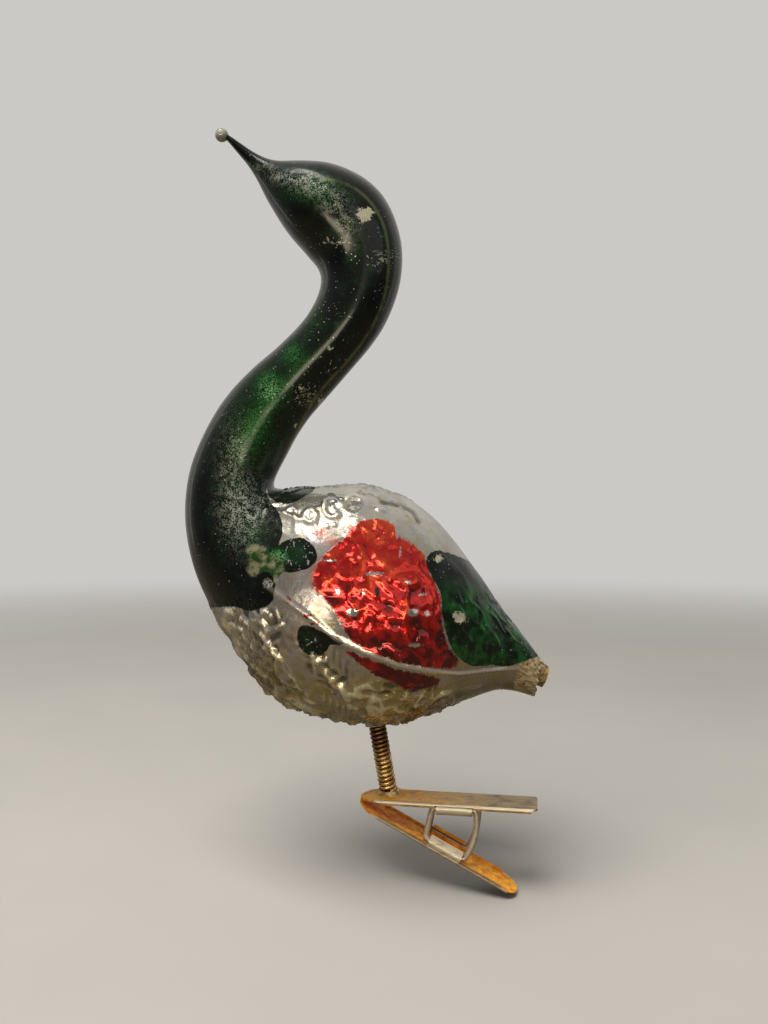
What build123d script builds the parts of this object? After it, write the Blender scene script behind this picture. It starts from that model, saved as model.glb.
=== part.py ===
"""A clip-on blown-glass swan: a hollow glass bird on a coil-spring leg, held by a small tin spring clip.

Frame: the origin is where the two jaw noses meet and grip a twig. +Z is up the leg, the bird faces -X,
its tail points along +X, and its left side is towards -Y. All lengths are in millimetres.
"""

import os
from math import cos, radians, sin

from build123d import *

PARTS_FOLDER = "parts"

# ---- glass bird -------------------------------------------------------------------------------
BODY_WALL = 0.9
NECK_WALL = 1.0
# Egg-shaped body, front to tail: x, z of the centre, half height, half width.
BODY_STATIONS = [
    (-25.9, 35.1, 1.6, 1.5),
    (-25.4, 35.1, 4.0, 3.6),
    (-24.3, 35.3, 7.2, 6.2),
    (-22.5, 35.6, 10.8, 9.0),
    (-19.1, 36.2, 15.7, 12.6),
    (-14.6, 36.3, 19.2, 15.8),
    (-9.2, 35.7, 20.5, 17.8),
    (-2.0, 35.3, 21.5, 18.8),
    (4.3, 34.5, 21.0, 18.6),
    (9.7, 33.8, 19.4, 17.3),
    (15.1, 32.0, 15.8, 14.6),
    (19.6, 30.2, 12.2, 11.6),
    (24.1, 27.8, 8.4, 8.3),
    (27.7, 25.4, 5.7, 5.7),
    (30.6, 23.4, 3.9, 3.9),
]
TAIL_END = (32.6, 21.9)
TAIL_SLOPE = 21.0  # degrees below the horizontal at the mouth of the tail stub
TAIL_MOUTH_RADIUS = 2.9
# S-shaped neck, head and beak, from inside the breast to the beak tip: x, z, radius.
NECK_STATIONS = [
    (-12.8, 28.3, 6.2),
    (-18.2, 35.3, 8.2),
    (-22.4, 44.5, 8.4),
    (-23.6, 52.6, 8.1),
    (-22.0, 60.3, 7.7),
    (-19.3, 66.8, 7.0),
    (-14.0, 73.3, 6.6),
    (-7.7, 79.7, 6.1),
    (-2.5, 86.2, 6.5),
    (0.1, 92.7, 7.4),
    (-1.2, 100.6, 8.6),
    (-5.2, 105.0, 8.5),
    (-9.4, 108.0, 7.1),
    (-13.2, 110.4, 4.8),
    (-16.3, 112.2, 2.9),
    (-18.2, 113.6, 1.9),
    (-20.0, 115.1, 1.25),
    (-21.9, 116.8, 0.95),
    (-24.7, 118.9, 0.8),
]
THINNEST_HOLLOW_NECK = 2.5  # where the beak is thinner than this radius, the glass is solid
BEAD_CENTRE, BEAD_RADIUS = (-25.2, 0, 119.2), 1.25

# ---- tail socket --------------------------------------------------------------------------------
TAIL_BORE_RADIUS = 1.5  # left by the spun-glass tail brush
TAIL_GLUE_LENGTH = 3.6
TAIL_GLUE_PROUD = 0.5

# ---- coil-spring leg ----------------------------------------------------------------------------
LEG_FOOT = Vector(5.0, 0, 0.81)  # on the upper jaw
LEG_ENTRY = Vector(2.8, 0, 13.4)  # in the belly
LEG_INSET = 5.0  # length of coil inside the glass
COIL_WIRE = 0.72
COIL_OUTER = 3.2
COIL_PITCH = 0.76
COIL_LIFT = 0.6  # the first turn's centre above the foot, along the leg
FIT_GAP = 0.05  # radial clearance round the coil
LEG_HOLE_RADIUS = 2.2
PLUG_FLANGE_RADIUS = 3.4
PLUG_BELOW_ENTRY = 0.2
PLUG_FLANGE_BASE = 2.3  # above the entry point, along the leg
PLUG_TOP = 6.0
SOLDER_BASE_RADIUS, SOLDER_TOP_RADIUS, SOLDER_HEIGHT = 2.3, 1.9, 0.7

# ---- clip -----------------------------------------------------------------------------------------
CLIP_YAW = -10.0  # the clip has turned this far on its coil, degrees about +Z
JAW_ANGLE = 26.6  # between the two jaws when the noses meet
JAW_LENGTH = 31.2
JAW_WIDTH = 7.0
SHEET = 0.4
JAW_TOP = 0.8
NOSE_LENGTH = 5.0
NOSE_GAP = 0.02
UPPER_TAIL_CORNER = 1.0
LOWER_TAIL_CORNER = 3.0
FLANGE_DEPTH = 0.8
FLANGE_START = 4.4
EDGE_ROUND = 0.35
EAR_CENTRE = 17.0
EAR_LENGTH = 6.2
EAR_NOTCH = 0.3
EAR_OUTER_RADIUS = 1.1
EAR_SEAM = 0.5
HOOP_WIRE = 1.06
HOOP_CORNER = 0.65
HOOP_SIDE_ROUND = 4.0
HOOP_BACK_BULGE = 1.4
HOOP_FRONT_BULGE = 0.25


def square_planes(points):
    """A plane square to the path at each (x, z) point, with local x along +Y so a loft doesn't twist."""
    last = len(points) - 1
    planes = []
    for i, (x, z) in enumerate(points):
        before, after = points[max(i - 1, 0)], points[min(i + 1, last)]
        along = (after[0] - before[0], 0, after[1] - before[1])
        planes.append(Plane(origin=(x, 0, z), x_dir=(0, 1, 0), z_dir=along))
    return planes


def tail_direction():
    return Vector(cos(radians(TAIL_SLOPE)), 0, -sin(radians(TAIL_SLOPE)))


def tail_plane(distance=0.0):
    """The plane across the tail stub, distance beyond its mouth."""
    origin = Vector(TAIL_END[0], 0, TAIL_END[1]) + tail_direction() * distance
    return Plane(origin=origin, x_dir=(0, 1, 0), z_dir=tail_direction())


def body_solid(inset, mouth_runs_on=0.0):
    """The egg-shaped body, inset from its outer surface; the tail mouth can run on past the stub's end."""
    sections = [
        Plane(origin=(x + (inset if i == 0 else 0), 0, z), x_dir=(0, 1, 0), z_dir=(1, 0, 0))
        * Ellipse(half_width - inset, half_height - inset)
        for i, (x, z, half_height, half_width) in enumerate(BODY_STATIONS)
    ]
    sections.append(tail_plane() * Circle(TAIL_MOUTH_RADIUS - inset))
    if mouth_runs_on:
        sections.append(tail_plane(mouth_runs_on) * Circle(TAIL_MOUTH_RADIUS - inset))
    return loft(sections)


def neck_solid(inset):
    """The neck, head and beak, inset from their surface; an inset neck stops where the beak turns solid."""
    planes = square_planes([(x, z) for x, z, _ in NECK_STATIONS])
    sections = [
        plane * Circle(radius - inset)
        for plane, (_, _, radius) in zip(planes, NECK_STATIONS)
        if inset == 0 or radius > THINNEST_HOLLOW_NECK
    ]
    return loft(sections)


def leg_plane(distance):
    """The plane across the coil leg, distance along it from the jaw."""
    along = (LEG_ENTRY - LEG_FOOT).normalized()
    return Plane(origin=LEG_FOOT + along * distance, x_dir=(0, 1, 0), z_dir=along)


def leg_length():
    return (LEG_ENTRY - LEG_FOOT).length


def leg_cylinder(radius, start, end):
    return extrude(leg_plane(start) * Circle(radius), end - start)


def glass_cavity():
    return body_solid(BODY_WALL, mouth_runs_on=2.0) + neck_solid(NECK_WALL)


def glass_bird(cavity):
    outside = body_solid(0) + neck_solid(0) + Pos(*BEAD_CENTRE) * Sphere(BEAD_RADIUS)
    leg_hole = leg_cylinder(LEG_HOLE_RADIUS, leg_length() - 3, leg_length() + 4)
    return outside - cavity - leg_hole


def tail_glue(cavity):
    """The ring of old glue that held the spun-glass tail, moulded to the inside of the stub."""
    reach = TAIL_GLUE_LENGTH + TAIL_GLUE_PROUD
    slab = extrude(tail_plane(TAIL_GLUE_PROUD) * Circle(8), -reach)
    bore = extrude(tail_plane(TAIL_GLUE_PROUD + 1) * Circle(TAIL_BORE_RADIUS), -reach - 2)
    return (slab & cavity) - bore


def leg_spring():
    """The close-wound leg, from just above the jaw to inside the plug."""
    coil_radius = (COIL_OUTER - COIL_WIRE) / 2
    base = leg_plane(COIL_LIFT)
    height = leg_length() + LEG_INSET - COIL_LIFT
    path = Helix(COIL_PITCH, height, coil_radius, center=base.origin, direction=base.z_dir)
    section = Plane(origin=path @ 0, z_dir=path % 0) * Circle(COIL_WIRE / 2)
    return sweep(section, path=path, is_frenet=True)


def leg_plug():
    """Plaster that locks the coil in the belly: a neck through the glass and a wider head inside."""
    entry = leg_length()
    neck = leg_cylinder(LEG_HOLE_RADIUS - FIT_GAP, entry - PLUG_BELOW_ENTRY, entry + PLUG_FLANGE_BASE)
    head = leg_cylinder(PLUG_FLANGE_RADIUS, entry + PLUG_FLANGE_BASE, entry + PLUG_TOP)
    socket = leg_cylinder(COIL_OUTER / 2 + FIT_GAP, entry - 1, entry + LEG_INSET + COIL_WIRE)
    return neck + head - socket


def leg_solder(upper_jaw):
    """The mound of solder that holds the foot of the coil; it follows the jaw's curve towards the nose."""
    mound = Plane(LEG_FOOT) * Pos(0, 0, SOLDER_HEIGHT / 2) * Cone(
        SOLDER_BASE_RADIUS, SOLDER_TOP_RADIUS, SOLDER_HEIGHT
    )
    skirt = Plane(LEG_FOOT) * Pos(0, 0, -SHEET / 2) * Cylinder(SOLDER_BASE_RADIUS, SHEET)
    return mound + skirt - upper_jaw - leg_cylinder(COIL_OUTER / 2 + FIT_GAP, COIL_LIFT / 2, 4)


def jaw_plate(tail_corner):
    """The stamped plate: a side profile that dips at the nose, trimmed to the round-nosed plan."""
    inner = JAW_TOP - SHEET
    outline = [
        ThreePointArc((0, SHEET), (NOSE_LENGTH / 2, JAW_TOP - 0.1), (NOSE_LENGTH, JAW_TOP)),
        Line((NOSE_LENGTH, JAW_TOP), (JAW_LENGTH, JAW_TOP)),
        Line((JAW_LENGTH, JAW_TOP), (JAW_LENGTH, inner)),
        Line((JAW_LENGTH, inner), (NOSE_LENGTH, inner)),
        ThreePointArc((NOSE_LENGTH, inner), (NOSE_LENGTH / 2, inner - 0.1), (0, 0)),
        Line((0, 0), (0, SHEET)),
    ]
    side = extrude(Plane.XZ * make_face(outline), JAW_WIDTH / 2, both=True)
    straight = JAW_LENGTH - NOSE_LENGTH / 2
    plan = Pos(NOSE_LENGTH, 0) * Ellipse(NOSE_LENGTH, JAW_WIDTH / 2)
    plan += Pos(JAW_LENGTH - straight / 2, 0) * RectangleRounded(straight, JAW_WIDTH, tail_corner)
    return side & extrude(plan, 2, both=True)


def jaw_flange(side, tail_corner):
    """One long edge, turned in; it stops either side of the ear."""
    y = side * (JAW_WIDTH - SHEET) / 2
    z = JAW_TOP - FLANGE_DEPTH / 2
    length = JAW_LENGTH - tail_corner - FLANGE_START
    strip = Pos(FLANGE_START + length / 2, y, z) * Box(length, SHEET, FLANGE_DEPTH)
    gap = Pos(EAR_CENTRE, y, z - SHEET) * Box(EAR_LENGTH + 2 * EAR_NOTCH, 2 * SHEET, FLANGE_DEPTH)
    return strip - gap


def ear_plane(side):
    """Across the rolled ear, at its front end."""
    y = side * (JAW_WIDTH / 2 - EAR_OUTER_RADIUS)
    origin = (EAR_CENTRE - EAR_LENGTH / 2, y, JAW_TOP - EAR_OUTER_RADIUS)
    return Plane(origin=origin, x_dir=(0, 1, 0), z_dir=(1, 0, 0))


def jaw(tail_corner):
    """One stamping, outer face up, nose at the origin. The two jaws differ only at the tail corners."""
    rounded = Plane.YZ * Pos(0, JAW_TOP - 2) * RectangleRounded(JAW_WIDTH, 4, EDGE_ROUND)
    sheet = jaw_plate(tail_corner) + jaw_flange(1, tail_corner) + jaw_flange(-1, tail_corner)
    made = sheet & extrude(rounded, JAW_LENGTH)
    for side in (1, -1):
        roll = ear_plane(side)
        made += extrude(roll * Circle(EAR_OUTER_RADIUS), EAR_LENGTH)
        bore = extrude(roll * Circle(EAR_OUTER_RADIUS - SHEET + FIT_GAP), EAR_LENGTH)
        made -= bore
        seam = Pos(-side * EAR_OUTER_RADIUS / 2, -EAR_OUTER_RADIUS / 2) * Rectangle(
            EAR_OUTER_RADIUS, EAR_SEAM
        )
        made -= extrude(roll * seam, EAR_LENGTH)
    return Pos(0, 0, NOSE_GAP / 2) * made


def hoop(side):
    """One wire hoop: straight through both ears, bowed between them, its ends butted in the lower ear."""
    half = radians(JAW_ANGLE / 2)
    ear_front = EAR_CENTRE - EAR_LENGTH / 2 - HOOP_CORNER
    ear_back = EAR_CENTRE + EAR_LENGTH / 2 + HOOP_CORNER
    drop = JAW_TOP - EAR_OUTER_RADIUS

    def from_middle(x, sign):
        """A point on an ear's centre line, measured from the line midway between the jaws."""
        return (x * cos(half) - drop * sin(half), sign * (x * sin(half) + drop * cos(half)))

    corners = [
        from_middle(ear_front, 1),
        from_middle(ear_back, 1),
        (from_middle(ear_back, 1)[0] + HOOP_BACK_BULGE, 0),
        from_middle(ear_back, -1),
        from_middle(ear_front, -1),
        (from_middle(ear_front, 1)[0] - HOOP_FRONT_BULGE, 0),
    ]
    rounds = [HOOP_CORNER, HOOP_CORNER, HOOP_SIDE_ROUND, HOOP_CORNER, HOOP_CORNER, HOOP_SIDE_ROUND]
    y = side * (JAW_WIDTH / 2 - EAR_OUTER_RADIUS)
    middle = Plane(origin=(0, y, 0), x_dir=(cos(half), 0, -sin(half)), z_dir=(0, -1, 0))
    path = middle * FilletPolyline(*corners, radius=rounds, close=True)
    start = Plane(origin=path @ 0, z_dir=path % 0)
    return sweep(start * Circle(HOOP_WIRE / 2), path=path)


def turned(shape):
    """A clip part, turned with the clip about the leg's axis."""
    return Rot(0, 0, CLIP_YAW) * shape


def main():
    os.makedirs(PARTS_FOLDER, exist_ok=True)
    cavity = glass_cavity()
    upper_jaw = turned(jaw(UPPER_TAIL_CORNER))
    lower_jaw = turned(Rot(0, JAW_ANGLE, 0) * Rot(180, 0, 0) * jaw(LOWER_TAIL_CORNER))
    parts = {
        "glass_bird": glass_bird(cavity),
        "tail_glue": tail_glue(cavity),
        "leg_plug": leg_plug(),
        "leg_spring": leg_spring(),
        "leg_solder": leg_solder(upper_jaw),
        "upper_jaw": upper_jaw,
        "lower_jaw": lower_jaw,
        "ring_spring_left": turned(hoop(-1)),
        "ring_spring_right": turned(hoop(1)),
    }
    for node, shape in parts.items():
        export_step(shape, os.path.join(PARTS_FOLDER, f"{node}.step"))


main()
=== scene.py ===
from functools import partialmethod
from math import cos, pi, radians, sin

import bpy
import numpy as np
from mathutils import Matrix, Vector, noise


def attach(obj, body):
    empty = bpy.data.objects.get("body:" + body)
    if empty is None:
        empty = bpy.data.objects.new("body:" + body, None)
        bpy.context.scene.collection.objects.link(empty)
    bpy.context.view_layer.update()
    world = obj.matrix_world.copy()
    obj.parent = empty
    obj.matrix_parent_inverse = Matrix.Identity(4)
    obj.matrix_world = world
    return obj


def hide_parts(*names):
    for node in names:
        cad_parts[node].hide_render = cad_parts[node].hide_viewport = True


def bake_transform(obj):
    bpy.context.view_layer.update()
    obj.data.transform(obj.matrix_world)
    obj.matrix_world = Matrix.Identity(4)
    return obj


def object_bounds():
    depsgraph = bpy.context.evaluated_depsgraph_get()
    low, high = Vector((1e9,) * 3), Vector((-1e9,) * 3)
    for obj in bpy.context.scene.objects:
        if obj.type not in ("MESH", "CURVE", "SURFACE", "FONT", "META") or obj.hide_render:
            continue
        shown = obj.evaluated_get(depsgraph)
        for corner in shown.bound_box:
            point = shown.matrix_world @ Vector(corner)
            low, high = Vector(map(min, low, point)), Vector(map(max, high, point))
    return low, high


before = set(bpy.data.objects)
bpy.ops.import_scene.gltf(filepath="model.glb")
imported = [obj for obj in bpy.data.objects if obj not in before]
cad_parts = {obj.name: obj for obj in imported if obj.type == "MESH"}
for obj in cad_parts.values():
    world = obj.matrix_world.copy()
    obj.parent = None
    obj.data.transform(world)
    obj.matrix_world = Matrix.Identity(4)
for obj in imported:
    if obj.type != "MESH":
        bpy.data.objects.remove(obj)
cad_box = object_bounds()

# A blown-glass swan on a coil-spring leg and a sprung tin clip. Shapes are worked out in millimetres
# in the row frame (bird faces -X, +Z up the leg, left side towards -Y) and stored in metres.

MM = 0.001
EYE_DISTANCE = 153.0  # the side view is judged from here, level with EYE_AIM
EYE_AIM = (4.1, 51.3)
LENS, SENSOR = 29.9, 36.0
BACKDROP = (0.60, 0.585, 0.56)
FLOOR_GAP = 0.0004  # metres between the object and the floor

# The clip: its turn on the leg, the rolled ears along each jaw, and the wire hoops through them.
CLIP_YAW = radians(-10)
JAW_HALF_ANGLE, JAW_WIDTH = radians(13.3), 7.0
EAR_CENTRE, EAR_LENGTH, EAR_DROP, EAR_SIDE = 17.0, 6.2, -0.3, 2.4
HOOP_WIRE, HOOP_CORNER, HOOP_BACK_BULGE, HOOP_FRONT_BULGE = 1.04, 0.65, 1.4, 0.25
HOOP_BENDS = [0.8, 0.8, 3.6, 0.8, 0.8, 3.0]

# The coil leg: distances from its foot at which the coil starts, is split and ends, and two more places
# up the leg that are worked out but not used.
LEG_FOOT, LEG_ENTRY = np.array([5.0, 0, 0.81]), np.array([2.8, 0, 13.4])
COIL_WIRE, COIL_OUTER, COIL_PITCH = 0.72, 3.2, 0.76
COIL_START, COIL_SPLIT, COIL_END = 0.6, 6.85, 14.6
BEND_START, BEND_END = 1.1, 12.6


# ---- meshes ----------------------------------------------
STEADY = [0.137, 0.91, 0.31]  # a direction that no wire runs along


def mesh_object(name, points, faces, **attributes):
    """An object from points in millimetres, with float attributes on its points."""
    mesh = bpy.data.meshes.new(name)
    mesh.from_pydata((np.asarray(points, float) * MM).tolist(), [], faces)
    for key, values in attributes.items():
        mesh.attributes.new(key, "FLOAT", "POINT").data.foreach_set("value", np.asarray(values, "f"))
    mesh.polygons.foreach_set("use_smooth", [True] * len(mesh.polygons))
    obj = bpy.data.objects.new(name, mesh)
    bpy.context.scene.collection.objects.link(obj)
    return obj


def grid_faces(rows, columns, closed_rows=False):
    """Quads between rings of points; each ring is closed, and the rings can form a loop."""
    r = np.arange(rows if closed_rows else rows - 1)[:, None]
    c = np.arange(columns)[None, :]
    nr, nc = (r + 1) % rows, (c + 1) % columns
    quads = np.stack([r * columns + c, r * columns + nc, nr * columns + nc, nr * columns + c], -1)
    return quads.reshape(-1, 4).tolist()


def capped(points, faces, ring_start, columns, flip=False):
    """Adds a fan that closes the ring starting at point ring_start."""
    middle = len(points)
    points = np.vstack([points, points[ring_start : ring_start + columns].mean(0)])
    for i in range(columns):
        a, b = ring_start + i, ring_start + (i + 1) % columns
        faces.append((b, a, middle) if flip else (a, b, middle))
    return points, faces


def smooth_steps(x, low, high):
    """0 below low, 1 above high, smooth between."""
    t = np.clip((x - low) / (high - low), 0, 1)
    return t * t * (3 - 2 * t)


def tube(path, radius, sides, closed=False):
    """Rings of points square to a path, held steady along it."""
    path = np.asarray(path, float)
    ahead = np.roll(path, -1, 0) - np.roll(path, 1, 0)
    if not closed:
        ahead[0], ahead[-1] = path[1] - path[0], path[-1] - path[-2]
    ahead /= np.linalg.norm(ahead, axis=1)[:, None]
    side = np.cross(ahead, STEADY)
    side /= np.linalg.norm(side, axis=1)[:, None]
    up = np.cross(side, ahead)
    angle = np.arange(sides) * 2 * pi / sides
    rings = side[:, None] * np.cos(angle)[None, :, None] + up[:, None] * np.sin(angle)[None, :, None]
    return (path[:, None] + rings * radius).reshape(-1, 3)


# ---- the glass bird --------------------------------------
# Cross-sections from the tail stub to the beak tip. Each is an ellipse: x, z of its end on the back
# (then the nape), x, z of its end on the belly (then the throat), and its half width. They fan round the
# notch between back and neck, and round the throat.
SECTIONS = [
    (32.4, 25.0, 30.5, 18.2, 3.1), (30.8, 27.2, 27.7, 19.1, 3.9), (28.3, 30.4, 24.5, 19.5, 5.4),
    (25.9, 33.1, 21.1, 18.5, 7.3), (22.5, 38.5, 17.1, 17.2, 10.2), (18.2, 44.5, 13.0, 15.5, 13.4),
    (13.7, 49.9, 8.8, 14.1, 16.2), (8.8, 53.8, 4.9, 13.5, 17.7), (4.1, 55.6, 0.9, 13.4, 18.3),
    (-0.5, 56.5, -3.1, 13.9, 18.4), (-5.6, 56.3, -7.0, 14.8, 17.9), (-9.9, 56.0, -11.0, 16.0, 16.8),
    (-13.1, 55.6, -14.6, 17.4, 15.4), (-14.8, 55.5, -17.8, 19.8, 14.1), (-15.0, 55.5, -20.7, 24.3, 12.8),
    (-15.2, 55.5, -23.4, 28.8, 11.7), (-15.4, 55.6, -25.9, 32.4, 10.8), (-15.6, 55.7, -28.1, 36.5, 10.0),
    (-15.6, 55.9, -29.9, 40.7, 9.4), (-15.7, 56.2, -31.1, 45.4, 8.9), (-15.6, 56.5, -31.7, 50.2, 8.5),
    (-15.6, 56.9, -31.5, 54.9, 8.2), (-15.2, 57.9, -30.8, 58.9, 7.9), (-14.4, 59.5, -29.6, 62.4, 7.7),
    (-13.1, 61.9, -27.8, 66.3, 7.6), (-11.5, 65.0, -25.5, 70.3, 7.5), (-9.2, 68.4, -22.7, 73.9, 7.3),
    (-5.8, 72.2, -19.3, 77.3, 7.1), (-2.0, 76.6, -15.3, 80.6, 7.0), (1.4, 80.5, -12.1, 83.7, 7.0),
    (4.1, 84.3, -9.9, 86.2, 7.1), (5.9, 88.2, -8.5, 88.6, 7.2), (7.0, 91.6, -7.6, 90.8, 7.3),
    (7.5, 94.7, -7.3, 92.4, 7.5), (7.6, 97.4, -7.3, 93.5, 7.7), (7.4, 99.7, -7.6, 94.6, 7.9),
    (6.8, 102.2, -8.3, 95.8, 8.2), (5.8, 105.1, -9.4, 96.9, 8.5), (4.0, 108.2, -10.7, 98.5, 8.7),
    (1.4, 110.6, -12.4, 100.3, 8.6), (-1.8, 112.4, -14.0, 102.4, 7.9), (-5.0, 113.6, -15.4, 104.6, 6.9),
    (-7.9, 114.0, -16.6, 106.6, 5.7), (-10.6, 114.2, -17.6, 108.4, 4.5), (-13.0, 114.2, -18.4, 110.2, 3.4),
    (-14.9, 114.2, -19.4, 112.0, 2.5), (-16.9, 114.8, -20.4, 113.6, 1.8), (-19.1, 115.9, -21.8, 115.2, 1.35),
    (-21.2, 117.4, -23.0, 116.6, 1.0), (-23.3, 118.9, -24.1, 118.0, 0.72),
    (-24.4, 119.6, -25.0, 118.8, 0.55),
]
AROUND = 300  # points round each section
SECTION_STEP = 0.1  # spacing of the smoothed sections
SMOOTHING, SMOOTHING_REACH = 11.0, 30  # the smoothing's width and its window to each side, in such steps
BODY_MIDDLE, BODY_REACH = np.array([0.0, 35.0]), 23.0  # of the round body, in the side view
RELIEF_SINK = 0.12  # how far the relief's ground lies below the sections
STUB_WALL, STUB_DEPTH, STUB_TILT = 0.75, 5.0, radians(21)
BEAD, BEAD_RADIUS = (-25.1, 0, 119.1), 1.2

# Painted areas, as outlines in the side view: x, z.
NECK_GREEN = [
    (-17.2, 56.4), (-16.9, 53.5), (-14.6, 51.2), (-14.0, 48.6), (-14.4, 46.4), (-15.4, 44.0), (-11.5, 42.6),
    (-14.5, 40.3), (-15.6, 38.0), (-15.8, 35.0), (-17.8, 34.0), (-20.0, 33.3), (-21.8, 34.0), (-23.9, 34.4),
    (-27.5, 33.9), (-45, 34), (-45, 130), (25, 130), (25, 62), (-12, 57.4),
]
SHOULDER_GREEN = [
    (-17, 57), (-8.6, 56.2), (-8.3, 55.2), (-10.6, 53.7), (-12.6, 52.8), (-14.6, 52.7), (-16.8, 54),
]
DROPLET = [
    (-15.5, 44.8), (-13.6, 46.2), (-11.4, 46.9), (-9.2, 46.1), (-7.6, 43.6), (-8.6, 41.6), (-11, 40.5),
    (-14.4, 40.4), (-15.6, 42),
]
SEAM_BLOB = [
    (-11.4, 30.8), (-9.2, 31.0), (-7.2, 29.8), (-5.2, 29.2), (-2.6, 28.0), (-3.6, 27.2), (-5.6, 27.6),
    (-6.2, 26.2), (-8.0, 25.3), (-10.2, 25.8), (-11.6, 28.0),
]
TAIL_GREEN = [
    (11.4, 42.3), (12.3, 44.0), (13.8, 44.5), (17.6, 43.4), (21.4, 41.4), (26.5, 36.0), (29.5, 31.4),
    (34.0, 27.0), (32.6, 25.4), (28.6, 24.3), (26.3, 23.3), (23.5, 23.9), (20.2, 23.3), (18.2, 24.4),
    (16.0, 26.8), (14.9, 31.1), (14.3, 34.2), (14.6, 36.4), (12.6, 39.6),
]
WING_RED = [
    (0.2, 49.9), (3.1, 50.3), (5.8, 49.5), (6.7, 46.8), (9.4, 45.5), (11.6, 43.4), (12.4, 40.6), (14.3, 36.5),
    (14.5, 33.7), (14.9, 29.5), (15.6, 27.0), (17.6, 25.0), (17.1, 22.9), (11.5, 23.3), (6.7, 24.1),
    (2.4, 25.6), (-1.3, 27.4), (-3.2, 30.0), (-4.3, 32.9), (-7.2, 36.0), (-9.0, 38.5), (-8.6, 40.6),
    (-7.0, 43.6), (-4.6, 45.5), (-2.9, 46.8), (-1.6, 48.8),
]
WING_SPILL = [
    (-4.7, 27.6), (0.2, 25.4), (6.7, 23.0), (14.5, 21.6), (13.6, 19.7), (8.1, 18.9), (6.4, 20.4),
    (1.6, 22.2),
]
TAN_STUB = [(28.0, 23.7), (29.4, 24.6), (31.4, 25.2), (33.0, 26.6), (36, 25), (33, 16), (27.0, 18.0)]
CLEAR_NECK_PATCH = [
    (-21.2, 44.8), (-18.9, 45.9), (-17.0, 45.0), (-16.2, 43.6), (-14.0, 42.6), (-13.2, 40.2), (-15.2, 37.8),
    (-16.4, 39.6), (-18.2, 40.1), (-19.6, 39.4), (-21.2, 40.7), (-20.2, 42.3),
]

# Lines on the glass: x, z. BACK_LINE is sunk, the pale line along the neck and head is a painted reflection,
# and the others are raised lines moulded in the glass.
SEAM = [
    (-17.2, 38.0), (-13.0, 35.1), (-8.1, 31.5), (-4.7, 28.4), (0.2, 26.3), (6.7, 23.8), (13.1, 22.7),
    (17.6, 22.3), (24.1, 23.0), (28.4, 23.4),
]
BELLY_RIDGE = [
    (-10.2, 28.0), (-7.0, 22.6), (-2.9, 18.9), (2.2, 17.9), (8.2, 17.9), (14.0, 18.6), (21.0, 20.2),
]
BREAST_RIDGE = [(-24.6, 34.0), (-21.0, 31.6), (-17.8, 29.0), (-14.6, 24.4), (-11.0, 19.3)]
SHOULDER_RIDGE = [(-17.1, 53.3), (-16.0, 51.6), (-13.4, 50.9), (-11.0, 49.9)]
BACK_LINE = [(3.6, 53.2), (7.0, 52.6), (9.4, 51.4), (10.4, 49.6)]
NECK_REFLECTION_LINE = [
    (-9.5, 111.5), (-3.0, 110.8), (1.6, 107.6), (4.4, 102.6), (5.1, 96.3), (4.5, 91.3), (3.2, 86.8),
    (0.6, 82.3), (-2.9, 77.8), (-6.5, 74.2), (-9.2, 70.6), (-11.3, 66.1), (-13.7, 60.7), (-15.4, 57.6),
]
ROUND_BOSSES = [  # x, z, radius
    (-5.2, 52.0, 1.5), (-1.4, 52.6, 1.7), (-1.1, 17.3, 1.3), (2.6, 16.4, 1.2), (-9.2, 50.6, 1.1),
]

# Soft patches: x, z, half sizes, strength.
# The first two lists are painted highlights: a green glow and a silver frosting where the lamps are reflected
# on the neck, head and droplet.
GREEN_GLOW_HIGHLIGHTS = [
    (-15.0, 43.4, 1.9, 1.0, 1.8), (-16.6, 73.6, 2.6, 3.2, 0.85), (-12.2, 79.6, 2.2, 2.6, 0.55),
    (-19.4, 66.5, 4.2, 6.5, 0.42), (-19.6, 47.0, 3.0, 2.4, 0.3), (-9.5, 87.0, 2.2, 4.0, 0.25),
    (-9.0, 109.0, 5.0, 1.8, 0.55),
]
SILVER_FROST_HIGHLIGHTS = [
    (-21.6, 51.5, 3.2, 6.0, 1.0), (-18.8, 53.0, 2.8, 4.5, 0.5), (-23.6, 61.0, 2.6, 7.0, 0.35),
    (-14.6, 111.6, 2.6, 1.0, 1.0), (-11.8, 110.9, 3.2, 1.3, 1.1), (-8.4, 109.7, 3.2, 1.6, 0.9),
    (-4.8, 107.2, 2.4, 2.0, 0.7), (-2.6, 103.6, 2.0, 2.6, 0.35), (-18.4, 113.2, 3.0, 1.2, 0.5),
]
WORN_ZONES = [
    (-9.6, 72.0, 4.2, 3.2, 1.0), (-5.0, 76.6, 4.0, 3.4, 0.7), (-4.9, 99.7, 3.6, 1.1, 1.3),
    (2.9, 96.6, 3.2, 2.0, 0.8), (4.2, 91.0, 2.6, 6.0, 0.55), (-6.4, 88.0, 4.0, 7.0, 0.4),
]
SCRATCHED = [(4.4, 97.2, 3.2, 2.0, 1.0), (-4.9, 100.0, 3.2, 1.2, 0.9), (-10.2, 72.0, 3.0, 2.4, 0.9)]

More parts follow.
